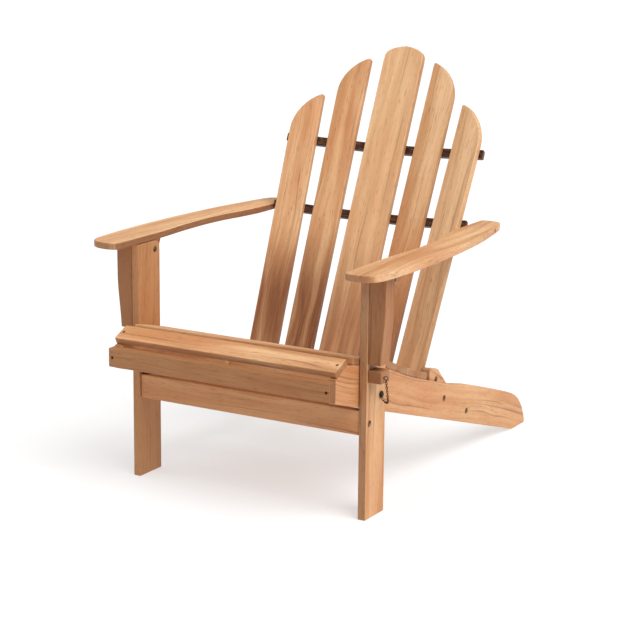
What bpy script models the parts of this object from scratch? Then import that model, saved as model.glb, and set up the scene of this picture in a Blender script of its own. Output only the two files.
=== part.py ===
"""A folding adirondack chair in oiled hardwood.

Metres, +Z up. The chair faces -Y, and "left" is the sitter's left, at +X. The origin is on the
floor under the middle of the chair. Side-view points (y, z) are measured from the front edge of
the front legs and from the floor; FRONT_Y moves them into the chair's own frame.

The front legs, the back and the arms form a four-bar linkage with the two stringers. It is locked
by a wooden peg through each front leg, and folds forward when both pegs are pulled out.
"""
import math

import bmesh
import bpy
from mathutils import Matrix, Vector

# Driving dimensions, in metres.
FRONT_Y = -0.3574           # front edge of the front legs
GAP = 0.0003                # between pieces that touch
EDGE = 0.0025               # rounding of board edges
BOLT_R = 0.0035
BORE_R = 0.0039
THIN_BOLT_R = 0.0025        # the arms' rear bolts
THIN_BORE_R = 0.0029

STRINGER_T = 0.018
STRINGER_X = 0.2582         # middle of a stringer's thickness
LEG_X = (0.2690, 0.2865)    # inner and outer face
LEG_D = 0.0800
LEG_H = 0.5121
LUG_X = (0.2290, 0.2489)
SEAT_HALF = 0.2670          # the seat slats' half length
SEAT_SLAT = (0.044, 0.015)
SEAT_COUNT = 7              # between the nose slat and the back
SEAT_END_Y = 0.335
NOSE_SLAT = (0.046, 0.0155)
NOSE_FOOT = (-0.0645, 0.3252)
NOSE_TILT = math.radians(24)
ARM_T = 0.0147
ARM_Z = 0.51995             # middle of an arm's thickness

LEG_PIVOT = (0.0590, 0.2535)
BACK_PIVOT = (0.3833, 0.2063)
ARM_PIVOT = (0.0612, 0.4935)
BACK_RECLINE = math.radians(24.4)
BACK_ORIGIN = (0.5115, 0.5000)      # where the back's front face meets z = 0.5
BACK_T = 0.0147
ARM_BACK_S = 0.0219         # the arm's rear bolt, measured up the back
BACK_FOOT_S = -0.345
OUTER_SLAT = {"x": 0.2005, "lean": 0.0424, "half": 0.0343, "shoulder": 0.208, "rise": 0.0915}
INNER_SLAT = {"x": 0.1080, "lean": 0.0206, "half": 0.0343, "shoulder": 0.311, "rise": 0.0860}
MIDDLE_SLAT = {"half": 0.0504, "shoulder": 0.3955, "rise": 0.0375}
SIDE_SLAT_FULLNESS = 1.42   # 1 is an ellipse, and more is flatter
BAR_T = 0.020
CROSSBARS = {               # lower edge and upper edge up the back, and half length
    "upper_crossbar": (0.1805, 0.2005, 0.254),
    "middle_crossbar": (0.0170, 0.0370, 0.249),
    "bottom_crossbar": (-0.340, -0.300, 0.2285),
}

PEG = (0.0200, 0.3030)
PEG_R = 0.0080
PEG_BLOCK = (0.0310, 0.0360, 0.0255)
PEG_EYE = (0.0115, 0.3030)
BRACKET_Y = (0.0010, 0.0390)
CHAIN_R = 0.0016

WOOD = {"colour": (0.58, 0.34, 0.16), "roughness": 0.55, "metal": 0.0}
DARK_WOOD = {"colour": (0.42, 0.22, 0.10), "roughness": 0.60, "metal": 0.0}
STEEL = {"colour": (0.45, 0.43, 0.38), "roughness": 0.40, "metal": 1.0}


# Scene, collections and materials.

for old in list(bpy.data.objects):
    bpy.data.objects.remove(old, do_unlink=True)


def new_collection(name):
    collection = bpy.data.collections.new(name)
    bpy.context.scene.collection.children.link(collection)
    return collection


CHAIR = new_collection("adirondack_chair")
CUTTERS = new_collection("cutters")


def new_material(name, look):
    material = bpy.data.materials.new(name)
    material.use_nodes = True
    shader = material.node_tree.nodes["Principled BSDF"]
    shader.inputs["Base Color"].default_value = (*look["colour"], 1.0)
    shader.inputs["Roughness"].default_value = look["roughness"]
    shader.inputs["Metallic"].default_value = look["metal"]
    return material


# Placements. Each turns a flat outline's own axes into the chair's.

def side_place(x):
    """An outline of (y, z), thick along X."""
    return Matrix(((0, 0, 1, x), (1, 0, 0, FRONT_Y), (0, 1, 0, 0), (0, 0, 0, 1)))


def front_place(y):
    """An outline of (x, z), thick along Y."""
    return Matrix(((1, 0, 0, 0), (0, 0, -1, y + FRONT_Y), (0, 1, 0, 0), (0, 0, 0, 1)))


def plan_place(z):
    """An outline of (x, y), thick along Z."""
    return Matrix.Translation((0, FRONT_Y, z))


def across_place(x, y, z, side=1):
    """A turned piece whose head faces away from the middle of the chair, or inwards if side is -1."""
    turn = Matrix.Rotation(math.copysign(math.pi / 2, x) * side, 4, "Y")
    return Matrix.Translation((x, y + FRONT_Y, z)) @ turn


def empty(name, x, y, z, parent=None):
    """An empty on a joint's axis, for the pieces that move together."""
    pivot = bpy.data.objects.new(name, None)
    pivot.empty_display_size = 0.03
    CHAIR.objects.link(pivot)
    world = Vector((x, y + FRONT_Y, z))
    pivot.location = world
    if parent:
        pivot.parent = parent
        pivot.location = world - Vector(parent["at"])
    pivot["at"] = world
    return pivot


# Shapes.

def rounded(corners, steps=4):
    """A closed outline from (a, b) or (a, b, radius) corners, with each radius drawn as an arc."""
    outline = []
    for i, corner in enumerate(corners):
        here = Vector(corner[:2])
        radius = corner[2] if len(corner) > 2 else 0.0
        if radius == 0.0:
            outline.append(here)
            continue
        back = (Vector(corners[i - 1][:2]) - here).normalized()
        ahead = (Vector(corners[(i + 1) % len(corners)][:2]) - here).normalized()
        half = back.angle(ahead) / 2
        centre = here + (back + ahead).normalized() * radius / math.sin(half)
        first = here + back * radius / math.tan(half) - centre
        last = here + ahead * radius / math.tan(half) - centre
        sweep = first.angle_signed(last)
        for step in range(steps + 1):
            outline.append(centre + Matrix.Rotation(-sweep * step / steps, 2) @ first)
    return outline


def smooth(points, steps=3):
    """A Catmull-Rom curve through the points."""
    ends = [points[0], *points, points[-1]]
    path = []
    for a, b, c, d in zip(ends, ends[1:], ends[2:], ends[3:]):
        a, b, c, d = (Vector(p) for p in (a, b, c, d))
        for step in range(steps):
            t = step / steps
            path.append(
                (2 * b + (c - a) * t + (2 * a - 5 * b + 4 * c - d) * t * t
                 + (3 * b - a - 3 * c + d) * t ** 3) / 2
            )
    path.append(Vector(points[-1]))
    return path


def mirrored(points):
    return [Vector((-a, b)) for a, b in reversed(points)]


def outline_mesh(name, outline, thickness):
    """A flat outline, extruded by half its thickness each way and welded shut."""
    curve = bpy.data.curves.new(name, "CURVE")
    curve.dimensions = "2D"
    curve.fill_mode = "BOTH"
    curve.extrude = thickness / 2
    spline = curve.splines.new("POLY")
    spline.points.add(len(outline) - 1)
    for point, (a, b) in zip(spline.points, outline):
        point.co = (a, b, 0.0, 1.0)
    spline.use_cyclic_u = True
    guide = bpy.data.objects.new(name, curve)
    CUTTERS.objects.link(guide)
    depsgraph = bpy.context.evaluated_depsgraph_get()
    mesh = bpy.data.meshes.new_from_object(guide.evaluated_get(depsgraph))
    bpy.data.objects.remove(guide, do_unlink=True)
    bpy.data.curves.remove(curve)
    shape = bmesh.new()
    shape.from_mesh(mesh)
    bmesh.ops.remove_doubles(shape, verts=shape.verts, dist=0.00001)
    bmesh.ops.dissolve_limit(
        shape, angle_limit=math.radians(0.5), verts=shape.verts, edges=shape.edges
    )
    bmesh.ops.recalc_face_normals(shape, faces=shape.faces)
    shape.to_mesh(mesh)
    shape.free()
    return mesh


def block_mesh(name, size):
    shape = bmesh.new()
    bmesh.ops.create_cube(shape, size=1.0)
    bmesh.ops.scale(shape, vec=size, verts=shape.verts)
    mesh = bpy.data.meshes.new(name)
    shape.to_mesh(mesh)
    shape.free()
    return mesh


def profile_mesh(name, profile):
    """The (radius, height) profile that a Screw modifier turns about Z."""
    mesh = bpy.data.meshes.new(name)
    points = [(radius, 0.0, height) for radius, height in profile]
    mesh.from_pydata(points, [(i, i + 1) for i in range(len(points) - 1)], [])
    return mesh


def add_piece(name, mesh, place, look, pivot=None):
    """A piece of the chair, with its own material, parented to the empty that carries it."""
    mesh.name = name
    mesh.materials.clear()
    mesh.materials.append(new_material(name, look))
    piece = bpy.data.objects.new(name, mesh)
    CHAIR.objects.link(piece)
    piece.matrix_world = place
    if pivot:
        piece.parent = pivot
        piece.matrix_local = Matrix.Translation(-Vector(pivot["at"])) @ place
    return piece


def ease_edges(piece, width=EDGE):
    bevel = piece.modifiers.new("eased_edges", "BEVEL")
    bevel.width = width
    bevel.segments = 2
    bevel.limit_method = "ANGLE"
    bevel.angle_limit = math.radians(40)
    return piece


def board(name, outline, thickness, place, pivot=None, look=WOOD):
    return ease_edges(add_piece(name, outline_mesh(name, outline, thickness), place, look, pivot))


def bar(name, size, place, pivot=None, look=WOOD):
    return ease_edges(add_piece(name, block_mesh(name, size), place, look, pivot))


def turn(piece, steps=12):
    screw = piece.modifiers.new("turned", "SCREW")
    screw.steps = steps
    screw.render_steps = steps
    screw.use_merge_vertices = True
    screw.merge_threshold = 0.0001
    return piece


def turned(name, profile, place, pivot=None, look=STEEL):
    return turn(add_piece(name, profile_mesh(name, profile), place, look, pivot))


def bolt(name, length, place, pivot=None, head_r=0.0065, head_h=0.0032, shank_r=BOLT_R):
    """A bolt whose domed head stands above the local origin and whose shank runs down -Z."""
    profile = [
        (0.0, head_h),
        (head_r * 0.62, head_h * 0.82),
        (head_r, GAP),
        (shank_r, GAP),
        (shank_r, -length),
        (0.0, -length),
    ]
    return turned(name, profile, place, pivot)


def boolean(piece, tool, operation="DIFFERENCE"):
    modifier = piece.modifiers.new(tool.name, "BOOLEAN")
    modifier.operation = operation
    modifier.solver = "EXACT"
    modifier.object = tool


def cutter(name, mesh, place):
    tool = bpy.data.objects.new(name, mesh)
    tool.hide_render = True
    tool.display_type = "WIRE"
    CUTTERS.objects.link(tool)
    tool.matrix_world = place
    return tool


def rod_mesh(name, radius, length, sides=12):
    shape = bmesh.new()
    bmesh.ops.create_cone(
        shape, cap_ends=True, segments=sides, radius1=radius, radius2=radius, depth=length
    )
    mesh = bpy.data.meshes.new(name)
    shape.to_mesh(mesh)
    shape.free()
    return mesh


def bore(name, at, x_low, x_high, radius=BORE_R, sides=12):
    """A round cutter along X through the side-view point, between two distances from the middle."""
    y, z = at
    middle = math.copysign(abs(x_low + x_high) / 2, x_low + x_high)
    place = Matrix.Translation((middle, y + FRONT_Y, z)) @ Matrix.Rotation(math.pi / 2, 4, "Y")
    return cutter(name, rod_mesh(name, radius, abs(x_high - x_low), sides), place)


# Seat frame.

# The stringer's upper edge, from under the first seat slat to its rear foot.
STRINGER_TOP = smooth([
    (-0.0220, 0.3290), (0.0190, 0.3203), (0.0700, 0.3068), (0.1213, 0.2913), (0.1736, 0.2707),
    (0.2319, 0.2477), (0.3040, 0.2245), (0.3785, 0.2001), (0.4102, 0.1912), (0.5081, 0.1671),
    (0.6126, 0.1355), (0.6869, 0.1117), (0.7526, 0.0890), (0.7890, 0.0685), (0.8150, 0.0385),
    (0.8290, 0.0060),
], steps=2)


def stringer_outline():
    along = Vector((math.cos(NOSE_TILT), math.sin(NOSE_TILT)))
    under = Vector(NOSE_FOOT) - Vector((-along.y, along.x)) * GAP
    nose_back = under + along * 0.0220
    nose_front = under - along * 0.0250
    return [
        (-0.0927, 0.2650),
        (0.7593, 0.0),
        (0.8265, 0.0),
        *reversed(STRINGER_TOP),
        nose_back,
        nose_front,
        (-0.0927, nose_front.y - 0.0010),
    ]


def point_along(path, distance):
    for a, b in zip(path, path[1:]):
        step = (b - a).length
        if distance <= step:
            return a + (b - a) * distance / step
        distance -= step
    return path[-1]


def seat_slat_places():
    """Where each seat slat rests: both its lower edges on the stringer's upper edge."""
    seat_path = [point for point in STRINGER_TOP if point.x < SEAT_END_Y]
    width, thickness = SEAT_SLAT
    length = sum((b - a).length for a, b in zip(seat_path, seat_path[1:]))
    pitch = (length - width) / (SEAT_COUNT - 1)
    for i in range(SEAT_COUNT):
        front = point_along(seat_path, i * pitch)
        rear = point_along(seat_path, i * pitch + width)
        along = (rear - front).normalized()
        up = Vector((-along.y, along.x))
        crown = max((point - front).dot(up) for point in seat_path if front.x < point.x < rear.x)
        middle = (front + rear) / 2 + up * (max(crown, 0.0) + GAP + thickness / 2)
        yield middle, math.atan2(along.y, along.x)


def slat_place(middle, tilt):
    turn_up = Matrix.Rotation(tilt, 4, "X")
    return Matrix.Translation((0, middle.x + FRONT_Y, middle.y)) @ turn_up


def make_seat():
    slats = []
    front = Vector((-0.1034, 0.2922))
    size = (2 * SEAT_HALF, 0.0206, 0.0410)
    slats.append((bar("front_slat", size, slat_place(front, 0.0)), slat_place(front, math.pi / 2)))
    up = Vector((-math.sin(NOSE_TILT), math.cos(NOSE_TILT)))
    middle = Vector(NOSE_FOOT) + up * NOSE_SLAT[1] / 2
    place = slat_place(middle, NOSE_TILT)
    slats.append((bar("nose_slat", (2 * SEAT_HALF, *NOSE_SLAT), place), place))
    for i, (middle, tilt) in enumerate(seat_slat_places(), start=1):
        place = slat_place(middle, tilt)
        slats.append((bar(f"seat_slat_{i}", (2 * SEAT_HALF, *SEAT_SLAT), place), place))
    for slat, place in slats:
        sink_screws(slat, place)


def sink_screws(slat, place):
    """A counterbored screw hole near each end of a slat, 9.5 mm in."""
    for side in (1, -1):
        name = f"{slat.name}_hole_{side}"
        mouth = Matrix.Translation((side * (SEAT_HALF - 0.0095), 0, 0.0100))
        boolean(slat, cutter(name, rod_mesh(name, 0.0034, 0.0150, 10), place @ mouth))


def make_frame():
    outline = stringer_outline()
    lug = rounded([
        (0.3540, 0.2360, 0.008), (0.3950, 0.2262, 0.016), (0.4450, 0.1780, 0.012),
        (0.5400, 0.1140, 0.010), (0.5260, 0.0890, 0.010), (0.3540, 0.1420, 0.006),
    ])
    lug_bolts = {"front": (0.3901, 0.1632), "rear": (0.5045, 0.1068)}
    lug_t = LUG_X[1] - LUG_X[0]
    for hand, side in (("left", 1), ("right", -1)):
        stringer = board(f"stringer_{hand}", outline, STRINGER_T, side_place(side * STRINGER_X))
        plate = board(f"pivot_lug_{hand}", lug, lug_t, side_place(side * sum(LUG_X) / 2))
        boolean(plate, bore(f"lug_bore_{hand}", BACK_PIVOT, side * 0.21, side * 0.26))
        boolean(stringer, bore(f"leg_bore_{hand}", LEG_PIVOT, side * 0.24, side * 0.28))
        boolean(stringer, bore(f"peg_bore_{hand}", PEG, side * 0.24, side * 0.28, PEG_R + 0.0004, 16))
        for end, at in lug_bolts.items():
            hole = bore(f"lug_bolt_bore_{end}_{hand}", at, side * 0.22, side * 0.28)
            recess = bore(f"lug_bolt_recess_{end}_{hand}", at, side * 0.2642, side * 0.28, 0.0072)
            boolean(stringer, hole)
            boolean(stringer, recess)
            boolean(plate, hole)
            place = across_place(side * 0.2642, *at)
            bolt(f"lug_bolt_{end}_{hand}", 0.0340, place, head_h=0.0026)
    rail = Matrix.Translation((0, 0.3340 + FRONT_Y, 0.1850))
    rail_length = 2 * (STRINGER_X - STRINGER_T / 2 - GAP)
    bar("rear_cross_rail", (rail_length, 0.0180, 0.0400), rail)


# Front legs.

def make_legs():
    pivot = empty("front_legs_pivot", 0, *LEG_PIVOT)
    inner, outer = LEG_X
    thickness = outer - inner
    crown = LEG_H - ARM_PIVOT[1]
    leg = rounded(
        [(0.0, 0.0), (LEG_D, 0.0), (LEG_D, LEG_H, crown), (0.0, LEG_H, 0.002)], steps=5
    )
    apron_at = (0.0131, 0.2029)
    apron_length = 2 * (inner - GAP)
    place = Matrix.Translation((0, apron_at[0] + FRONT_Y, apron_at[1]))
    apron = bar("front_apron", (apron_length, 0.0180, 0.0526), place, pivot)
    for hand, side in (("left", 1), ("right", -1)):
        name = f"leg_{hand}"
        piece = board(name, leg, thickness, side_place(side * (inner + outer) / 2), pivot)
        holes = {"pivot": LEG_PIVOT, "arm": ARM_PIVOT, "apron": apron_at}
        for what, at in holes.items():
            boolean(piece, bore(f"{name}_{what}_bore", at, side * 0.26, side * 0.30))
        boolean(piece, bore(f"{name}_peg_bore", PEG, side * 0.26, side * 0.30, PEG_R + 0.0004, 16))
        recess_x = outer - 0.0045
        boolean(piece, bore(f"{name}_recess", apron_at, side * recess_x, side * 0.30, 0.0072))
        boolean(apron, bore(f"apron_bore_{hand}", apron_at, side * 0.2250, side * 0.30))
        bolt(f"apron_bolt_{hand}", 0.0520, across_place(side * recess_x, *apron_at), pivot)
        place = across_place(side * (inner - GAP), *ARM_PIVOT, side=-1)
        bolt(f"arm_leg_bolt_{hand}", 0.0375, place, pivot, head_h=0.0026)
        make_bracket(hand, side, pivot)
        make_pivot_bolt(hand, side)
        make_peg(hand, side, pivot)
        make_chain(hand, side, pivot)


def make_bracket(hand, side, pivot):
    """The tapered block that the arm rests on, screwed to the leg's outer face."""
    face = LEG_X[1] + GAP
    foot = 0.3280
    edge = smooth([
        (0.3165, foot), (0.3182, 0.3530), (0.3225, 0.3950), (0.3254, 0.4350), (0.3262, LEG_H),
    ], steps=2)
    outline = [Vector((face, LEG_H)), Vector((face, foot)), *edge]
    if side < 0:
        outline = mirrored(outline)
    depth = BRACKET_Y[1] - BRACKET_Y[0]
    middle = sum(BRACKET_Y) / 2
    board(f"arm_bracket_{hand}", outline, depth, front_place(middle), pivot, DARK_WOOD)


def make_pivot_bolt(hand, side):
    """The leg's pivot bolt, held in the stringer, and the washer between leg and stringer."""
    spacer = 0.0026
    place = across_place(side * (LEG_X[1] + spacer), *LEG_PIVOT)
    bolt(f"leg_pivot_bolt_{hand}", 0.0400, place, head_r=0.0075)
    ring = [(0.0090, 0.0006), (0.0090, -0.0006), (BORE_R, -0.0006), (BORE_R, 0.0006)]
    middle = (LEG_X[0] + STRINGER_X + STRINGER_T / 2) / 2
    place = across_place(side * middle, *LEG_PIVOT)
    turned(f"leg_washer_{hand}", [*ring, ring[0]], place)


def make_peg(hand, side, pivot):
    """The locking peg: a block for the fingers and a round shank, with an eye for its chain."""
    y, z = PEG
    face = LEG_X[1] + GAP
    guide = empty(f"peg_{hand}_guide", side * face, y, z, pivot)
    length, depth, height = PEG_BLOCK
    place = Matrix.Translation((side * (face + length / 2), y + FRONT_Y, z))
    look = DARK_WOOD
    peg = bar(f"locking_peg_{hand}", PEG_BLOCK, place, guide, look)
    shank_x = LEG_X[0] + GAP
    shank = bore(f"peg_{hand}_shank", PEG, side * shank_x, side * (face + 0.006), PEG_R, 16)
    boolean(peg, shank, "UNION")
    end = face + length
    name = f"peg_{hand}_stem_bore"
    stem = bore(name, PEG_EYE, side * (end - 0.012), side * (end + 0.01), 0.0014, 8)
    boolean(peg, stem)
    make_eye(hand, side, end, guide)


def make_eye(hand, side, end, guide):
    """A wire ring on a stem that screws into the peg's end."""
    y, z = PEG_EYE
    ring_r = 0.0042
    wire_r = 0.0008
    bpy.ops.mesh.primitive_torus_add(
        major_segments=12, minor_segments=6, major_radius=ring_r, minor_radius=wire_r
    )
    ring = bpy.context.object
    mesh = ring.data
    bpy.data.objects.remove(ring, do_unlink=True)
    middle = end + 0.0015 + ring_r
    upright = Matrix.Rotation(math.pi / 2, 4, "X")
    place = Matrix.Translation((side * middle, y + FRONT_Y, z)) @ upright
    eye = add_piece(f"peg_eye_{hand}", mesh, place, STEEL, guide)
    stem_end = middle - ring_r
    name = f"peg_eye_{hand}_stem"
    stem = bore(name, PEG_EYE, side * (end - 0.010), side * stem_end, 0.0010, 8)
    boolean(eye, stem, "UNION")


def make_chain(hand, side, pivot):
    """The chain from the peg down to its ring on the leg's pivot bolt, as a plain slim solid."""
    route = [
        (0.3215, 0.0150, 0.2860),
        (0.3225, 0.0190, 0.2700),
        (0.3210, 0.0270, 0.2530),
        (0.3160, 0.0380, 0.2410),
        (0.3085, 0.0500, 0.2355),
        (0.2990, 0.0620, 0.2375),
        (0.2925, 0.0700, 0.2460),
    ]
    curve = bpy.data.curves.new(f"chain_{hand}", "CURVE")
    curve.dimensions = "3D"
    curve.bevel_depth = CHAIN_R
    curve.bevel_resolution = 2
    curve.use_fill_caps = True
    spline = curve.splines.new("POLY")
    spline.points.add(len(route) - 1)
    for point, (x, y, z) in zip(spline.points, route):
        point.co = (side * x, y + FRONT_Y, z, 1.0)
    curve.materials.append(new_material(f"chain_{hand}", STEEL))
    chain = bpy.data.objects.new(f"chain_{hand}", curve)
    CHAIR.objects.link(chain)
    chain.parent = pivot
    chain.matrix_local = Matrix.Translation(-Vector(pivot["at"]))


# Back.

UP_BACK = Vector((0, math.sin(BACK_RECLINE), math.cos(BACK_RECLINE)))
BEHIND = Vector((0, math.cos(BACK_RECLINE), -math.sin(BACK_RECLINE)))
ORIGIN_BACK = Vector((0, BACK_ORIGIN[0] + FRONT_Y, BACK_ORIGIN[1]))


def dish(s):
    """How fast the back curves forward towards its sides: the offset is dish(s) * x * x."""
    return 0.402 - 0.0975 * s


def back_point(x, s, behind=0.0):
    return ORIGIN_BACK + Vector((x, 0, 0)) + UP_BACK * s + BEHIND * behind


def slat_frame(x, lean):
    """The front face of a back slat: its middle line, lying on the dished surface."""
    def middle(s):
        across = x + lean * s
        return back_point(across, s, -dish(s) * across * across)
    along = (middle(0.3) - middle(-0.3)).normalized()
    across = Vector((1, 0, 0)) - BEHIND * 2 * dish(0.0) * x
    across = (across - along * across.dot(along)).normalized()
    face = across.cross(along)
    turn_to = Matrix((across, along, face)).transposed().to_4x4()
    return Matrix.Translation(middle(0.0)) @ turn_to


def side_slat_outline(shape, side):
    """A slat whose top is a flattened quarter round, high at the side next to the middle."""
    half, shoulder, rise = shape["half"], shape["shoulder"], shape["rise"]
    outline = [(-half, BACK_FOOT_S), (half, BACK_FOOT_S)]
    for i in range(10):
        angle = math.radians(84) * i / 9
        across = math.cos(angle) ** SIDE_SLAT_FULLNESS
        outline.append((-half + 2 * half * across, shoulder + rise * math.sin(angle)))
    outline.append((-half, shoulder + rise - 0.0035))
    outline = [Vector(point) for point in outline]
    return outline if side > 0 else mirrored(outline)


def middle_slat_outline():
    half, shoulder, rise = (MIDDLE_SLAT[key] for key in ("half", "shoulder", "rise"))
    outline = [(-half, BACK_FOOT_S), (half, BACK_FOOT_S)]
    for i in range(17):
        angle = math.pi * i / 16
        across = math.copysign(abs(math.cos(angle)) ** 1.45, math.cos(angle))
        outline.append((half * across, shoulder + rise * math.sin(angle) ** 0.56))
    return outline


def crossbar_outline(frames, s, half_length):
    """A bar's outline in (x, behind): flat where each slat lies on it, and curved at the rear."""
    lines = []
    for frame in frames:
        face = frame.to_3x3() @ Vector((0, 0, 1))
        back_face = frame.translation - face * (BACK_T + 0.0005)

        def behind(x, face=face, point=back_face):
            return (point - back_point(x, s)).dot(face) / BEHIND.dot(face)
        lines.append((behind(0.0), behind(1.0) - behind(0.0)))
    front = [(-half_length, lines[0][0] - half_length * lines[0][1])]
    for (a, slope_a), (b, slope_b) in zip(lines, lines[1:]):
        x = (b - a) / (slope_a - slope_b)
        front.append((x, a + slope_a * x))
    front.append((half_length, lines[-1][0] + half_length * lines[-1][1]))
    rear = []
    for i in range(9):
        x = half_length * (1 - i / 4)
        rear.append((x, BACK_T + BAR_T - dish(s) * x * x))
    rear[0] = (half_length - 0.004, rear[0][1])
    rear[-1] = (0.004 - half_length, rear[-1][1])
    return front + rear


def make_back():
    pivot = empty("back_pivot", 0, *BACK_PIVOT)
    sides = [(OUTER_SLAT, -1), (INNER_SLAT, -1), (None, 0), (INNER_SLAT, 1), (OUTER_SLAT, 1)]
    frames = []
    for i, (shape, side) in enumerate(sides, start=1):
        if shape:
            frame = slat_frame(side * shape["x"], side * shape["lean"])
            outline = side_slat_outline(shape, side)
        else:
            frame = slat_frame(0.0, 0.0)
            outline = middle_slat_outline()
        frames.append(frame)
        place = frame @ Matrix.Translation((0, 0, -BACK_T / 2))
        board(f"back_slat_{i}", outline, BACK_T, place, pivot)
    across = Matrix((Vector((1, 0, 0)), BEHIND, UP_BACK)).transposed().to_4x4()
    bars = {}
    for name, (low, high, half_length) in CROSSBARS.items():
        s = (low + high) / 2
        outline = crossbar_outline(frames, s, half_length)
        place = Matrix.Translation(back_point(0, s)) @ across
        bars[name] = board(name, outline, high - low, place, pivot, DARK_WOOD)
    arm_bolt = ORIGIN_BACK + UP_BACK * ARM_BACK_S
    arm_bolt_at = (arm_bolt.y - FRONT_Y, arm_bolt.z)
    for hand, side in (("left", 1), ("right", -1)):
        hole = bore(f"bottom_bar_bore_{hand}", BACK_PIVOT, side * 0.195, side * 0.24)
        boolean(bars["bottom_crossbar"], hole)
        name = f"middle_bar_bore_{hand}"
        hole = bore(name, arm_bolt_at, side * 0.209, side * 0.27, THIN_BORE_R)
        boolean(bars["middle_crossbar"], hole)
        place = across_place(side * (LUG_X[1] + GAP), *BACK_PIVOT)
        bolt(f"back_pivot_bolt_{hand}", 0.0510, place, pivot, head_r=0.0060)
    return arm_bolt_at


# Arms.

def arm_outline():
    """The left arm from above: a bowed front, a waist on the inside, a narrow rear end."""
    inner = smooth([
        (0.2510, 0.5850), (0.2510, 0.4850), (0.2530, 0.4450), (0.2610, 0.3900), (0.2705, 0.3400),
        (0.2755, 0.2850), (0.2763, 0.2250), (0.2738, 0.1600), (0.2700, 0.1000), (0.2695, 0.0200),
        (0.2700, -0.0640),
    ], steps=2)
    front = smooth([
        (0.2745, -0.0745), (0.2860, -0.0785), (0.3010, -0.0795), (0.3170, -0.0770), (0.3300, -0.0705),
        (0.3400, -0.0590), (0.3460, -0.0420),
    ], steps=4)
    outer = smooth([
        (0.3493, -0.0150), (0.3530, 0.0400), (0.3545, 0.1000), (0.3537, 0.1700), (0.3508, 0.2500),
        (0.3445, 0.3350), (0.3375, 0.4050), (0.3275, 0.4650), (0.3165, 0.5250), (0.3080, 0.5650),
    ], steps=2)
    rear = smooth([(0.3000, 0.5840), (0.2860, 0.5925), (0.2640, 0.5930)], steps=2)
    return inner + front + outer + rear


def make_arms(bolt_at, legs_pivot):
    cleat_r = 0.0135
    y, z = ARM_PIVOT
    top = ARM_Z - ARM_T / 2 - GAP
    cleat = [Vector((y - cleat_r, top))]
    for i in range(6):
        angle = math.pi + i / 5 * math.pi / 2
        cleat.append(Vector((y + cleat_r * math.cos(angle), z + cleat_r * math.sin(angle))))
    cleat += [Vector((0.1000, z - cleat_r)), Vector((0.1120, top))]
    cleat_x = (LEG_X[1] + GAP, 0.3068)
    outline = arm_outline()
    for hand, side in (("left", 1), ("right", -1)):
        pivot = empty(f"arm_{hand}_pivot", side * LEG_X[1], *ARM_PIVOT, legs_pivot)
        shape = outline if side > 0 else mirrored(outline)
        arm = board(f"arm_{hand}", shape, ARM_T, plan_place(ARM_Z), pivot)
        middle = side * sum(cleat_x) / 2
        width = cleat_x[1] - cleat_x[0]
        block = board(f"arm_cleat_{hand}", cleat, width, side_place(middle), pivot, DARK_WOOD)
        boolean(block, bore(f"cleat_bore_{hand}", ARM_PIVOT, side * 0.28, side * 0.32))
        hole = bore(f"arm_rear_bore_{hand}", bolt_at, side * 0.24, side * 0.34, THIN_BORE_R)
        recess = bore(f"arm_rear_recess_{hand}", bolt_at, side * 0.3050, side * 0.34, 0.0046)
        boolean(arm, hole)
        boolean(arm, recess)
        name = f"arm_back_bolt_{hand}"
        place = across_place(side * 0.3050, *bolt_at)
        bolt(name, 0.0536, place, pivot, head_r=0.0040, head_h=0.0024, shank_r=THIN_BOLT_R)


make_frame()
make_seat()
make_legs()
rear_bolt_at = make_back()
make_arms(rear_bolt_at, bpy.data.objects["front_legs_pivot"])
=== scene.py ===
"""Looks for the folding adirondack chair: oiled hardwood, dull zinc fittings and small chains."""
import math

import bmesh
import bpy
import numpy as np
from mathutils import Matrix, Vector

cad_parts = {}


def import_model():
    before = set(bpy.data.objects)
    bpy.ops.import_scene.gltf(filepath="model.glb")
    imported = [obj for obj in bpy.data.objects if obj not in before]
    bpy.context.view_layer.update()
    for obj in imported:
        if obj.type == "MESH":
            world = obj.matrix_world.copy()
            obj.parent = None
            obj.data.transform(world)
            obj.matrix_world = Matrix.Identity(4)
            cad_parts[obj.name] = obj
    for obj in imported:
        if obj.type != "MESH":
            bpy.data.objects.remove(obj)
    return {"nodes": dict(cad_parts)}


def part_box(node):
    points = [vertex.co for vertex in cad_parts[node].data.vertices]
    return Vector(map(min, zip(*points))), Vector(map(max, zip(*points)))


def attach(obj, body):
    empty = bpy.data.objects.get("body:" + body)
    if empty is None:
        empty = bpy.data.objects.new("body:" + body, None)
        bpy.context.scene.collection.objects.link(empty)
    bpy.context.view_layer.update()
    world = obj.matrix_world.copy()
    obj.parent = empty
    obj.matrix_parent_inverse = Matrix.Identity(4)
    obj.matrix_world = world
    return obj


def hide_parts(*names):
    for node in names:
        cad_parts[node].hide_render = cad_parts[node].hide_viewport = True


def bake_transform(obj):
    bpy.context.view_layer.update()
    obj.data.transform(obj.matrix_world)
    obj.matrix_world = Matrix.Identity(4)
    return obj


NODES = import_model()["nodes"]
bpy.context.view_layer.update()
FRONT_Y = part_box("leg_left")[0][1]      # front edge of the front legs
LEG_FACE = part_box("leg_left")[1][0]     # outer face of the left leg
HANDS = (("left", 1), ("right", -1))

# Camera: where it stands, and how it looks at the chair.
CAMERA_AT = (2.064, -3.273 + FRONT_Y, 1.306)
CAMERA_TURN = (30.23, 12.53, 0.524)     # azimuth, elevation and roll, in degrees
CAMERA_LENS = 108.5
CAMERA_SHIFT = (0.0130, -0.0458)
SENSOR = 36.0

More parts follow.
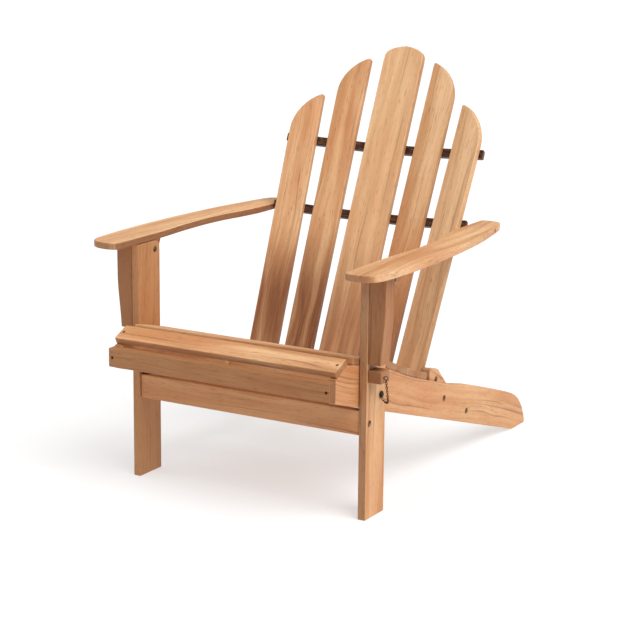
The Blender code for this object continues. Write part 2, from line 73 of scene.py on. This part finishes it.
# Light, as the brightness that each source gives a white surface facing it.
KEY = {"towards": (0.58, -0.18, 0.78), "gain": 0.92, "spread": 48}
RIM = {"towards": (-0.50, -0.10, 0.80), "gain": 0.16, "spread": 60}
SKY = 0.34
FLOOR_SIZE = 60.0
FLOOR_GREY = 0.45
FLOOR_GLOW = 0.55       # keeps the floor nearly white where it is lit

# Fittings.
SCREW_FROM_END = 0.0095
SCREW_DEPTH = {"nose_slat": 0.0034, "seat_slat": 0.0034, "front_slat": 0.0060}
SEAT_SCREW_R = 0.0031
BACK_SCREW_R = 0.0038
BACK_SCREW_PROUD = 0.0004
NUT = {"across": 0.0125, "height": 0.0058}
ARM_NUT = {"across": 0.0110, "height": 0.0045}
NUT_BORE = 0.0040
NUT_CHAMFER = 0.0009
NUT_OVERLAP = 0.0002    # how far a washer is let into the wood
WASHER_R = 0.0087
WASHER_T = 0.0012
CHAIN_PITCH = 0.0052
CHAIN_LAP = 0.0028      # how much longer a link is than the pitch
CHAIN_WIDTH = 0.0050
CHAIN_WIRE = 0.0013
RING_R = 0.0072
RING_WIRE = 0.0016
RING_GAP = 0.0014       # from the leg's face to the middle of the ring


# Small helpers.

def srgb(red, green, blue):
    """A colour given as 0-255 screen values, in linear light."""
    def linear(value):
        value /= 255
        return value / 12.92 if value <= 0.04045 else ((value + 0.055) / 1.055) ** 2.4
    return (linear(red), linear(green), linear(blue), 1.0)


def link(piece):
    bpy.context.scene.collection.objects.link(piece)
    return piece


def middle_of(node):
    low, high = (Vector(corner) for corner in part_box(node))
    return (low + high) / 2


def aim(towards):
    """A rotation whose local +Z points along the direction."""
    return Vector(towards).normalized().to_track_quat("Z", "Y")


# Camera, light and floor.

def make_camera():
    azimuth, elevation, roll = (math.radians(angle) for angle in CAMERA_TURN)
    camera = bpy.data.cameras.new("camera")
    camera.lens = CAMERA_LENS
    camera.sensor_width = SENSOR
    camera.shift_x, camera.shift_y = CAMERA_SHIFT
    stand = link(bpy.data.objects.new("camera", camera))
    back = Vector((
        math.sin(azimuth) * math.cos(elevation),
        -math.cos(azimuth) * math.cos(elevation),
        math.sin(elevation),
    ))
    right = Vector((math.cos(azimuth), math.sin(azimuth), 0.0))
    turn = Matrix((right, back.cross(right), back)).transposed().to_4x4()
    stand.matrix_world = Matrix.Translation(CAMERA_AT) @ turn @ Matrix.Rotation(roll, 4, "Z")
    bpy.context.scene.camera = stand


def make_sun(name, look):
    sun = bpy.data.lights.new(name, "SUN")
    sun.energy = look["gain"] * math.pi
    sun.angle = math.radians(look["spread"])
    lamp = link(bpy.data.objects.new(name, sun))
    lamp.rotation_mode = "QUATERNION"
    lamp.rotation_quaternion = aim(look["towards"])


def make_sky():
    """An even pale sky for light, and a white one behind everything."""
    world = bpy.data.worlds.new("studio")
    bpy.context.scene.world = world
    world.use_nodes = True
    tree = world.node_tree
    tree.nodes.clear()
    rays = tree.nodes.new("ShaderNodeLightPath")
    soft = tree.nodes.new("ShaderNodeBackground")
    soft.inputs["Strength"].default_value = SKY
    white = tree.nodes.new("ShaderNodeBackground")
    white.inputs["Strength"].default_value = 1.0
    for source in (soft, white):
        source.inputs["Color"].default_value = (1.0, 1.0, 1.0, 1.0)
    pick = tree.nodes.new("ShaderNodeMixShader")
    out = tree.nodes.new("ShaderNodeOutputWorld")
    tree.links.new(rays.outputs["Is Camera Ray"], pick.inputs[0])
    tree.links.new(soft.outputs[0], pick.inputs[1])
    tree.links.new(white.outputs[0], pick.inputs[2])
    tree.links.new(pick.outputs[0], out.inputs[0])


def make_floor():
    mesh = bpy.data.meshes.new("floor")
    shape = bmesh.new()
    bmesh.ops.create_grid(shape, x_segments=1, y_segments=1, size=FLOOR_SIZE)
    shape.to_mesh(mesh)
    shape.free()
    floor = link(bpy.data.objects.new("floor", mesh))
    material = bpy.data.materials.new("floor")
    material.use_nodes = True
    shader = material.node_tree.nodes["Principled BSDF"]
    shader.inputs["Base Color"].default_value = (FLOOR_GREY, FLOOR_GREY, FLOOR_GREY, 1.0)
    shader.inputs["Emission Color"].default_value = (1.0, 1.0, 1.0, 1.0)
    shader.inputs["Emission Strength"].default_value = FLOOR_GLOW
    shader.inputs["Roughness"].default_value = 0.9
    shader.inputs["Specular IOR Level"].default_value = 0.1
    floor.data.materials.append(material)


# Wood.

TAN = srgb(235, 192, 146)
BROWN = srgb(198, 140, 90)
UMBER = srgb(116, 68, 40)
# Painted shade: the near-black brown that boards in shadow are darkened towards.
DEEP_SHADE = srgb(54, 26, 16)
PORE = srgb(92, 54, 30)
BLUSH = srgb(226, 170, 136)

# Each kind of board: its tone, partly the wood's own and partly painted shade (beyond 1 it darkens further
# towards the painted-shade colour, for the crossbars behind the slats and the front-facing parts in shade),
# how strong its figure is, and how much painted shade darkens its narrow edges.
TONE_AND_SHADE = {
    "back_slat_1": (0.52, 0.90, 0.30), "back_slat_2": (0.48, 0.90, 0.30),
    "back_slat_3": (0.10, 0.65, 0.30), "back_slat_4": (0.38, 0.85, 0.30),
    "back_slat_5": (0.20, 0.80, 0.15), "arm_left": (0.42, 0.85, 0.05),
    "arm_right": (0.24, 0.85, 0.80), "stringer": (0.88, 1.00, 0.10), "leg_left": (0.78, 0.80, 0.55),
    "leg_right": (1.20, 0.85, 0.10), "front_apron": (1.04, 1.00, 0.30),
    "front_slat": (1.38, 0.95, 0.10), "nose_slat": (0.46, 1.05, 0.35),
    "seat_slat": (0.50, 0.90, 0.20), "arm_bracket": (1.30, 0.95, 0.40),
    "arm_cleat": (0.80, 0.70, 0.20), "locking_peg": (1.36, 0.80, 0.55),
    "pivot_lug": (0.50, 0.80, 0.20), "rear_cross_rail": (0.80, 0.70, 0.20),
    "upper_crossbar": (2.00, 0.60, 0.0), "middle_crossbar": (2.00, 0.60, 0.0),
    "bottom_crossbar": (1.10, 0.70, 0.20),
}

# Darker patches towards the bottom of the back slats, partly darker wood and partly painted shade: the
# place along the board, from -1 to 1, its reach, its strength.
HEARTWOOD_AND_SHADE = {
    "back_slat_1": (-0.62, 0.70, 0.98),
    "back_slat_2": (-0.72, 0.75, 1.05),
    "back_slat_3": (-0.80, 0.70, 0.60),
    "back_slat_4": (-0.90, 0.60, 0.45),
    "back_slat_5": (-0.80, 0.50, 0.15),
}


def tone_and_shade_of(node):
    """A board's own tone and painted shade, or its kind's."""
    if node in TONE_AND_SHADE:
        return TONE_AND_SHADE[node]
    return next(tone for start, tone in TONE_AND_SHADE.items() if node.startswith(start))


def board_axes(node):
    """A board's middle, its axes from longest to thinnest, and its half length."""
    mesh = NODES[node].data
    points = np.array([vertex.co for vertex in mesh.vertices])
    middle = (points.min(axis=0) + points.max(axis=0)) / 2
    centred = points - points.mean(axis=0)
    _, axes = np.linalg.eigh(centred.T @ centred)
    axes = axes[:, ::-1].T
    for axis in axes:
        if axis[np.argmax(np.abs(axis))] < 0:
            axis *= -1
    if np.dot(np.cross(axes[0], axes[1]), axes[2]) < 0:
        axes[2] *= -1
    half = np.abs((points - middle) @ axes[0]).max()
    return Vector(middle), Matrix([Vector(axis) for axis in axes]), half


class Shader:
    """A material's node tree, with short ways to add and join nodes."""

    def __init__(self, name):
        self.material = bpy.data.materials.new(name)
        self.material.use_nodes = True
        self.tree = self.material.node_tree
        self.surface = self.tree.nodes["Principled BSDF"]

    def node(self, kind, **settings):
        made = self.tree.nodes.new(kind)
        for key, value in settings.items():
            setattr(made, key, value)
        return made

    def join(self, source, target):
        self.tree.links.new(source, target)

    def set_or_join(self, socket, value):
        if isinstance(value, bpy.types.NodeSocket):
            self.join(value, socket)
        else:
            socket.default_value = value

    def math(self, operation, a, b=0.0):
        made = self.node("ShaderNodeMath", operation=operation)
        self.set_or_join(made.inputs[0], a)
        self.set_or_join(made.inputs[1], b)
        return made.outputs[0]

    def stretch(self, vector, scale, shift=(0.0, 0.0, 0.0)):
        made = self.node("ShaderNodeMapping")
        made.inputs["Scale"].default_value = scale
        made.inputs["Location"].default_value = shift
        self.join(vector, made.inputs["Vector"])
        return made.outputs[0]

    def noise(self, vector, scale, detail=3.0, rough=0.5, distortion=0.0):
        made = self.node("ShaderNodeTexNoise")
        made.inputs["Scale"].default_value = scale
        made.inputs["Detail"].default_value = detail
        made.inputs["Roughness"].default_value = rough
        made.inputs["Distortion"].default_value = distortion
        self.join(vector, made.inputs["Vector"])
        return made.outputs["Fac"]

    def range(self, value, low, high, to_low=0.0, to_high=1.0):
        made = self.node("ShaderNodeMapRange", clamp=True, interpolation_type="SMOOTHSTEP")
        self.join(value, made.inputs["Value"])
        for key, number in (("From Min", low), ("From Max", high), ("To Min", to_low), ("To Max", to_high)):
            made.inputs[key].default_value = number
        return made.outputs[0]

    def mix(self, factor, a, b, blend="MIX"):
        made = self.node("ShaderNodeMix", data_type="RGBA", blend_type=blend)
        self.set_or_join(made.inputs["Factor"], factor)
        self.set_or_join(made.inputs["A"], a)
        self.set_or_join(made.inputs["B"], b)
        return made.outputs["Result"]


def facing(look, coords, axis):
    """How squarely a surface faces along a board's axis, from 0 to 1."""
    dot = look.node("ShaderNodeVectorMath", operation="DOT_PRODUCT")
    look.join(coords.outputs["Normal"], dot.inputs[0])
    dot.inputs[1].default_value = axis
    return look.math("ABSOLUTE", dot.outputs["Value"])


def wood_material(node, seed):
    """Oiled hardwood with its grain along the board: broad figure, fine fibres and short dark pores, with
    painted shade on boards in shadow and on narrow edges.
    """
    brown_and_shade, figure, edge_shade = tone_and_shade_of(node)
    middle, axes, half = board_axes(node)
    look = Shader(f"wood_{node}")
    coords = look.node("ShaderNodeTexCoord")
    turn = look.node("ShaderNodeMapping")
    turn.inputs["Rotation"].default_value = axes.to_euler()
    turn.inputs["Location"].default_value = -(axes @ middle)
    look.join(coords.outputs["Object"], turn.inputs["Vector"])
    along = turn.outputs[0]
    shift = (seed * 3.7, seed * 1.9, seed * 5.3)

    sway = look.noise(look.stretch(along, (2.4, 8.0, 8.0), shift), 1.0, 2.0)
    bend = look.node("ShaderNodeVectorMath", operation="MULTIPLY_ADD")
    push = look.node("ShaderNodeCombineXYZ")
    look.join(look.math("SUBTRACT", sway, 0.5), push.inputs["Y"])
    look.join(push.outputs[0], bend.inputs[0])
    bend.inputs[1].default_value = (0.0, 0.060, 0.0)
    look.join(along, bend.inputs[2])
    grain = bend.outputs[0]

    broad = look.noise(look.stretch(grain, (1.6, 30.0, 20.0), shift), 1.0, 3.0, 0.6)
    rings = look.noise(look.stretch(grain, (2.2, 125.0, 70.0), shift), 1.0, 4.0, 0.65)
    pale = look.noise(look.stretch(grain, (2.0, 70.0, 50.0), shift[::-1]), 1.0, 3.0, 0.6)
    fibres = look.noise(look.stretch(grain, (14.0, 520.0, 420.0), shift), 1.0, 2.0, 0.6)
    pores = look.noise(look.stretch(grain, (42.0, 900.0, 700.0), shift), 1.0, 1.0, 0.5)
    cloud = look.noise(look.stretch(along, (3.4, 7.0, 7.0), shift), 1.0, 3.0, 0.55)

    low, high = max(brown_and_shade - 0.38, 0.0), min(brown_and_shade + 0.42, 1.0)
    base = look.mix(look.range(broad, 0.34, 0.66, low, high), TAN, BROWN)
    # Tones past 1 mix in painted shade for boards that stand in shadow.
    base = look.mix(max(brown_and_shade - 1.0, 0.0), base, DEEP_SHADE)
    streak = look.math("MULTIPLY", look.range(rings, 0.53, 0.72), 0.62 * figure)
    base = look.mix(streak, base, UMBER)
    base = look.mix(look.range(pale, 0.52, 0.74, 0.0, 0.38 * max(1.2 - brown_and_shade, 0.0)), base, TAN)
    # Darker patches low on the back slats: partly darker wood, partly painted shade near the seat.
    heart_and_shade = HEARTWOOD_AND_SHADE.get(node)
    if heart_and_shade:
        at, reach, strength = heart_and_shade
        parts = look.node("ShaderNodeSeparateXYZ")
        look.join(along, parts.inputs[0])
        away = look.math("ABSOLUTE", look.math("SUBTRACT", parts.outputs["X"], at * half))
        near = look.range(away, reach * half * 0.15, reach * half, 1.0, 0.0)
        ragged = look.math("MULTIPLY", near, look.range(broad, 0.32, 0.60, 0.50, 1.0))
        base = look.mix(look.math("MULTIPLY", ragged, strength * 0.92), base, UMBER)
    base = look.mix(look.range(cloud, 0.38, 0.70, 0.0, 0.40), base, BLUSH, "MULTIPLY")
    base = look.mix(look.range(fibres, 0.42, 0.72, 0.0, 0.30), base, BROWN)
    base = look.mix(look.range(pores, 0.63, 0.72, 0.0, 0.50), base, PORE)
    if not node.startswith("locking_peg"):
        base = look.mix(look.range(facing(look, coords, axes[0]), 0.55, 0.95, 0.0, 0.60), base, UMBER)
    # Painted shade on the narrow edges of each board.
    base = look.mix(look.range(facing(look, coords, axes[1]), 0.60, 0.90, 0.0, edge_shade), base, UMBER)
    look.join(base, look.surface.inputs["Base Color"])
    look.join(look.range(fibres, 0.3, 0.7, 0.46, 0.62), look.surface.inputs["Roughness"])
    look.surface.inputs["Specular IOR Level"].default_value = 0.35
    height = look.math("ADD", look.math("MULTIPLY", fibres, 0.6), look.math("MULTIPLY", rings, 0.4))
    height = look.math("SUBTRACT", height, look.range(pores, 0.62, 0.72, 0.0, 0.7))
    bump = look.node("ShaderNodeBump")
    bump.inputs["Strength"].default_value = 0.30
    bump.inputs["Distance"].default_value = 0.0006
    look.join(height, bump.inputs["Height"])
    look.join(bump.outputs[0], look.surface.inputs["Normal"])
    return look.material


# Metal.

def metal_material(name, bright, dark, roughness):
    """Dull plating with darker tarnish in patches and fine scratches."""
    look = Shader(name)
    place = look.node("ShaderNodeTexCoord").outputs["Object"]
    patches = look.noise(place, 420.0, 4.0, 0.6)
    scratches = look.noise(place, 2600.0, 2.0, 0.6)
    look.join(look.mix(look.range(patches, 0.40, 0.66), bright, dark), look.surface.inputs["Base Color"])
    look.surface.inputs["Metallic"].default_value = 0.9
    look.join(
        look.range(scratches, 0.3, 0.7, roughness - 0.08, roughness + 0.12),
        look.surface.inputs["Roughness"],
    )
    bump = look.node("ShaderNodeBump")
    bump.inputs["Strength"].default_value = 0.15
    bump.inputs["Distance"].default_value = 0.0003
    look.join(patches, bump.inputs["Height"])
    look.join(bump.outputs[0], look.surface.inputs["Normal"])
    return look.material


ZINC = metal_material("dull_zinc", srgb(122, 104, 78), srgb(58, 46, 34), 0.42)
DARK_METAL = metal_material("darkened_metal", srgb(66, 54, 40), srgb(28, 22, 16), 0.45)


# Pieces made here.

def finish_piece(name, shape, material, body, stands_for=(), angle=35):
    """Turns a bmesh into a piece that rides on a body."""
    mesh = bpy.data.meshes.new(name)
    bmesh.ops.remove_doubles(shape, verts=shape.verts, dist=0.000005)
    bmesh.ops.recalc_face_normals(shape, faces=shape.faces)
    shape.to_mesh(mesh)
    shape.free()
    mesh.shade_smooth()
    mesh.set_sharp_from_angle(angle=math.radians(angle))
    mesh.materials.append(material)
    piece = link(bpy.data.objects.new(name, mesh))
    if stands_for:
        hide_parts(*stands_for)
    if body:
        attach(piece, body)
    return piece


def lathe(shape, profile, place, steps=20):
    """Adds a turned solid: the (radius, height) profile about the placement's Z."""
    rings = []
    for radius, height in profile:
        if radius == 0.0:
            rings.append([shape.verts.new(place @ Vector((0, 0, height)))])
            continue
        ring = []
        for i in range(steps):
            angle = 2 * math.pi * i / steps
            spot = Vector((radius * math.cos(angle), radius * math.sin(angle), height))
            ring.append(shape.verts.new(place @ spot))
        rings.append(ring)
    for a, b in zip(rings, rings[1:]):
        for i in range(steps):
            j = (i + 1) % steps
            corners = [a[i % len(a)], a[j % len(a)], b[j % len(b)], b[i % len(b)]]
            corners = list(dict.fromkeys(corners))
            if len(corners) > 2:
                shape.faces.new(corners)


def screw_head(shape, place, radius=SEAT_SCREW_R):
    """A countersunk screw with a square drive, its face at the placement's origin."""
    socket = radius * 0.42
    profile = [(0.0, -0.0016), (socket * 0.9, -0.0014), (socket, -0.0002), (socket * 1.15, 0.0)]
    profile += [(radius * 0.93, 0.0), (radius, -0.0003), (radius * 0.5, -0.0026), (0.0, -0.0027)]
    lathe(shape, profile, place, 16)


def hex_nut(shape, place, across, height):
    """A chamfered nut on a thin washer. The washer's underside is at the placement's origin."""
    rim = WASHER_R - 0.0002
    washer = [(NUT_BORE, 0.0), (rim, 0.0), (WASHER_R, WASHER_T / 2), (rim, WASHER_T)]
    washer += [(NUT_BORE, WASHER_T), (NUT_BORE, 0.0)]
    lathe(shape, washer, place, 24)
    radius = across / math.sqrt(3)
    low, high = WASHER_T, WASHER_T + height
    nut = [(NUT_BORE, low), (radius * 0.90, low), (radius, low + NUT_CHAMFER)]
    nut += [(radius, high - NUT_CHAMFER), (radius * 0.90, high), (NUT_BORE * 1.15, high)]
    nut += [(NUT_BORE, high - 0.0006), (NUT_BORE, low)]
    lathe(shape, nut, place, 6)


def broad_face(node, towards):
    """The middle and the normal of a board's largest flat face that looks roughly one way."""
    mesh = NODES[node].data
    towards = Vector(towards)
    areas = {}
    for polygon in mesh.polygons:
        if polygon.normal.dot(towards) > 0.3:
            key = tuple(round(value, 2) for value in polygon.normal)
            areas.setdefault(key, []).append(polygon)
    best = max(areas.values(), key=lambda group: sum(polygon.area for polygon in group))
    corners = np.array([mesh.vertices[i].co for polygon in best for i in polygon.vertices])
    return Vector((corners.min(axis=0) + corners.max(axis=0)) / 2), best[0].normal.copy()


def make_seat_screws():
    """A screw at the bottom of each hole in the seat slats' ends."""
    shape = bmesh.new()
    for node in ["front_slat", "nose_slat"] + [f"seat_slat_{i}" for i in range(1, 8)]:
        middle, normal = broad_face(node, (0, -1, 0) if node == "front_slat" else (0, -0.6, 1.0))
        depth = next(depth for start, depth in SCREW_DEPTH.items() if node.startswith(start))
        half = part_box(node)[1][0]
        turn = aim(normal).to_matrix().to_4x4()
        for side in (1, -1):
            spot = Vector((side * (half - SCREW_FROM_END), middle.y, middle.z)) - normal * depth
            screw_head(shape, Matrix.Translation(spot) @ turn)
    finish_piece("seat_screws", shape, DARK_METAL, "seat_frame")


def make_back_screws():
    """Screws through each crossbar into the back slats."""
    shape = bmesh.new()
    slats = [NODES[f"back_slat_{i}"].data for i in range(1, 6)]
    for name in ("upper_crossbar", "middle_crossbar", "bottom_crossbar"):
        bar = NODES[name].data
        low, high = (Vector(corner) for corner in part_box(name))
        for slat in slats:
            x = slat_x_at(slat, (low.z + high.z) / 2)
            best = None
            for polygon in bar.polygons:
                if polygon.normal.y > 0.6 and polygon.normal.z < -0.2:
                    xs = [bar.vertices[i].co.x for i in polygon.vertices]
                    if min(xs) <= x <= max(xs) and (best is None or polygon.area > best.area):
                        best = polygon
            if best is None:
                continue
            faces = [p for p in bar.polygons if (p.normal - best.normal).length < 0.01]
            corners = [bar.vertices[i].co for p in faces for i in p.vertices]
            centre_line = sum(corners, Vector()) / len(corners)
            spot = Vector((x, centre_line.y, centre_line.z))
            spot -= best.normal * (spot - best.center).dot(best.normal)
            turn = aim(best.normal).to_matrix().to_4x4()
            place = Matrix.Translation(spot + best.normal * BACK_SCREW_PROUD) @ turn
            screw_head(shape, place, BACK_SCREW_R)
    finish_piece("back_screws", shape, ZINC, "back")


def slat_x_at(mesh, z):
    """The middle of a back slat at a height, from its two long edges."""
    points = np.array([vertex.co for vertex in mesh.vertices])
    low = points[points[:, 2] < points[:, 2].min() + 0.02]
    high = points[(points[:, 2] > 0.60) & (points[:, 2] < 0.74)]
    bottom = (low[:, 0].min() + low[:, 0].max()) / 2, low[:, 2].mean()
    if len(high) < 4:
        return bottom[0]
    top = (high[:, 0].min() + high[:, 0].max()) / 2, high[:, 2].mean()
    share = (z - bottom[1]) / (top[1] - bottom[1])
    return bottom[0] + (top[0] - bottom[0]) * share


def make_nuts():
    """Nuts and washers on the plain ends of the frame's bolts and of the bolts under the arms."""
    frame_bolts = {
        "leg_pivot_bolt": "stringer",
        "lug_bolt_front": "pivot_lug",
        "lug_bolt_rear": "pivot_lug",
    }
    for hand, side in HANDS:
        shape = bmesh.new()
        inward = Matrix.Rotation(-side * math.pi / 2, 4, "Y")
        for bolt, wall in frame_bolts.items():
            axis = middle_of(f"{bolt}_{hand}")
            x = min(abs(corner[0]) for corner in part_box(f"{wall}_{hand}")) * side
            spot = Vector((x - side * NUT_OVERLAP, axis.y, axis.z))
            hex_nut(shape, Matrix.Translation(spot) @ inward, **NUT)
        finish_piece(f"frame_nuts_{hand}", shape, ZINC, "seat_frame")
        shape = bmesh.new()
        outward = Matrix.Rotation(side * math.pi / 2, 4, "Y")
        axis = middle_of(f"arm_leg_bolt_{hand}")
        x = max(abs(corner[0]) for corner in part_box(f"arm_cleat_{hand}")) * side
        spot = Vector((x + side * NUT_OVERLAP, axis.y, axis.z))
        hex_nut(shape, Matrix.Translation(spot) @ outward, **ARM_NUT)
        finish_piece(f"arm_nut_{hand}", shape, ZINC, "front_legs")


def link_loop(shape, place, length, width, wire, around=14, sides=6):
    """Adds one chain link: a round wire bent into an oval, its length along the placement's X."""
    straight = (length - width) / 2
    bend = (width - wire) / 2
    rings = []
    for i in range(around):
        angle = 2 * math.pi * (i + 0.5) / around
        reach = Vector((math.cos(angle), math.sin(angle), 0))
        centre = reach * bend + Vector((math.copysign(straight, reach.x), 0, 0))
        ring = []
        for j in range(sides):
            turn = 2 * math.pi * j / sides
            offset = reach * math.cos(turn) + Vector((0, 0, math.sin(turn)))
            ring.append(shape.verts.new(place @ (centre + offset * wire / 2)))
        rings.append(ring)
    for i, ring in enumerate(rings):
        after = rings[(i + 1) % around]
        for j in range(sides):
            k = (j + 1) % sides
            shape.faces.new((ring[j], after[j], after[k], ring[k]))


def curve_point(points, distance):
    """The point at a distance along a row of points."""
    for a, b in zip(points, points[1:]):
        step = (b - a).length
        if distance <= step:
            return a + (b - a) * distance / step
        distance -= step
    return points[-1]


def smooth_route(points, steps=8):
    """Points on one smooth curve (Catmull-Rom) through the given ones."""
    ends = [points[0], *points, points[-1]]
    route = []
    for a, b, c, d in zip(ends, ends[1:], ends[2:], ends[3:]):
        for step in range(steps):
            t = step / steps
            route.append(
                (2 * b + (c - a) * t + (2 * a - 5 * b + 4 * c - d) * t * t
                 + (3 * b - a - 3 * c + d) * t ** 3) / 2
            )
    route.append(points[-1])
    return route


def make_chain(hand, side):
    """A chain of small links from the peg's eye to a ring round the leg's pivot bolt."""
    eye_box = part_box(f"peg_eye_{hand}")
    eye_x = max(abs(corner[0]) for corner in eye_box) - 0.0050
    start = Vector((side * eye_x, middle_of(f"peg_eye_{hand}").y, eye_box[0][2] + 0.0016))
    axis = middle_of(f"leg_pivot_bolt_{hand}")
    bolt = Vector((side * (LEG_FACE + RING_GAP), axis.y, axis.z))
    finish = bolt + Vector((side * 0.0006, 0.0035, -RING_R))
    route = smooth_route([
        start,
        start + Vector((0, 0.0030, -0.0140)),
        start + Vector((-side * 0.0010, 0.0090, -0.0320)),
        start + Vector((-side * 0.0050, 0.0190, -0.0480)),
        start + Vector((-side * 0.0130, 0.0310, -0.0570)),
        finish + Vector((side * 0.0060, -0.0030, -0.0070)),
        finish + Vector((side * 0.0010, 0, -0.0015)),
    ])
    total = sum((b - a).length for a, b in zip(route, route[1:]))
    count = round(total / CHAIN_PITCH)
    pitch = total / count
    shape = bmesh.new()
    for i in range(count):
        a = curve_point(route, i * pitch)
        b = curve_point(route, (i + 1) * pitch)
        along = (b - a).normalized()
        across = along.cross(Vector((1.0, 0.3, 0.2))).normalized()
        face = along.cross(across)
        if i % 2:
            across, face = face, -across
        turn = Matrix((along, across, face)).transposed().to_4x4()
        place = Matrix.Translation((a + b) / 2) @ turn
        link_loop(shape, place, pitch + CHAIN_LAP, CHAIN_WIDTH, CHAIN_WIRE)
    chain = finish_piece(f"chain_links_{hand}", shape, DARK_METAL, None, (f"chain_{hand}",))
    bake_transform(chain)
    shape = bmesh.new()
    ring_place = Matrix.Translation(bolt) @ Matrix.Rotation(math.pi / 2, 4, "Y")
    link_loop(shape, ring_place, 2 * RING_R, 2 * RING_R, RING_WIRE, 24, 8)
    finish_piece(f"chain_ring_{hand}", shape, DARK_METAL, "front_legs")


# Materials for the CAD nodes.

def dress_nodes():
    metal_words = ("bolt", "washer", "eye", "chain")
    for seed, (node, piece) in enumerate(sorted(NODES.items()), start=1):
        metal = any(word in node for word in metal_words)
        tarnished = "eye" in node or "leg_pivot" in node
        material = (DARK_METAL if tarnished else ZINC) if metal else wood_material(node, seed)
        piece.data.materials.clear()
        piece.data.materials.append(material)
        piece.data.shade_smooth()
        piece.data.set_sharp_from_angle(angle=math.radians(50))
        if not metal:
            normals = piece.modifiers.new("face_weighted", "WEIGHTED_NORMAL")
            normals.keep_sharp = True
            normals.weight = 80


bpy.context.scene.view_settings.view_transform = "Standard"

make_camera()
make_sun("key", KEY)
make_sun("rim", RIM)
make_sky()
make_floor()
dress_nodes()
make_seat_screws()
make_back_screws()
make_nuts()
for hand_name, hand_side in HANDS:
    make_chain(hand_name, hand_side)
